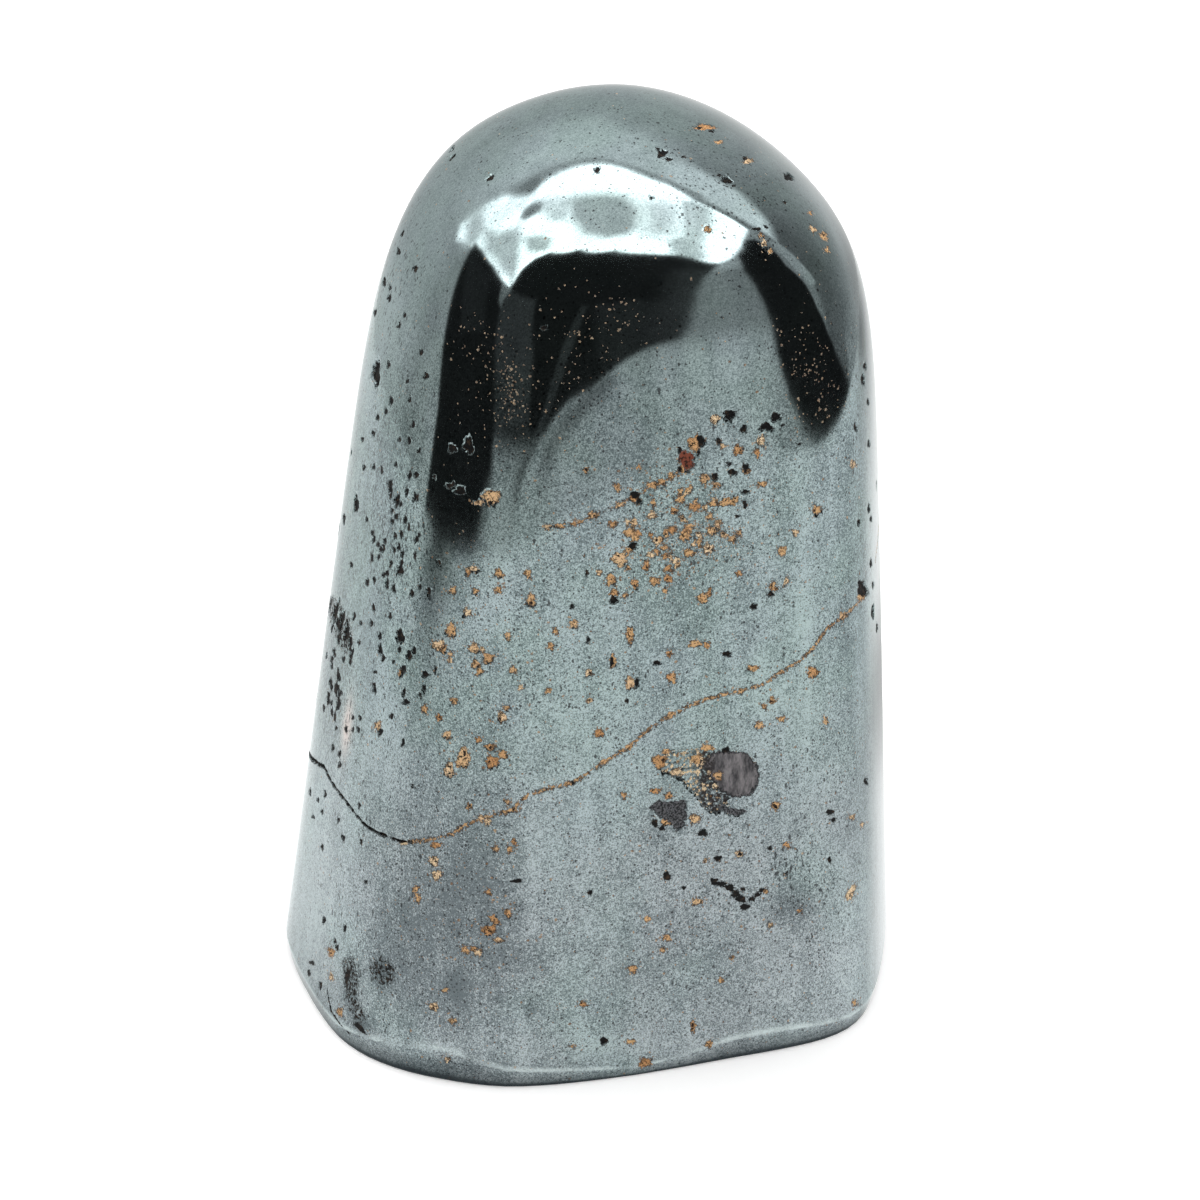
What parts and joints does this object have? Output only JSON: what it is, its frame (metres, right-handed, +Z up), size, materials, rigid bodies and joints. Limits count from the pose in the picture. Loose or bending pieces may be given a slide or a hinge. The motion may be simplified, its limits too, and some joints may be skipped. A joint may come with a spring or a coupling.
{
  "type": "hematite freeform",
  "caption": "Free-standing polished hematite stone: a rounded block that narrows towards its domed top, on a flat sawn foot with a narrow bevel.",
  "frame": {"origin": "centre of the bounding box at the bottom, on the surface that the stone stands on", "axes": "+Z up, along the stone's height, its longest extent; the broad polished front faces -Y; +X is to its right"},
  "size_m": [0.0628, 0.06, 0.0905],
  "materials": {
    "hematite": "polished grey-blue metallic ore with fine grain, ochre-filled pits, one thin ochre vein and small black crumbly patches"
  },
  "bodies": {
    "root": {"hematite_stone": "hematite"}
  },
  "joints": []
}
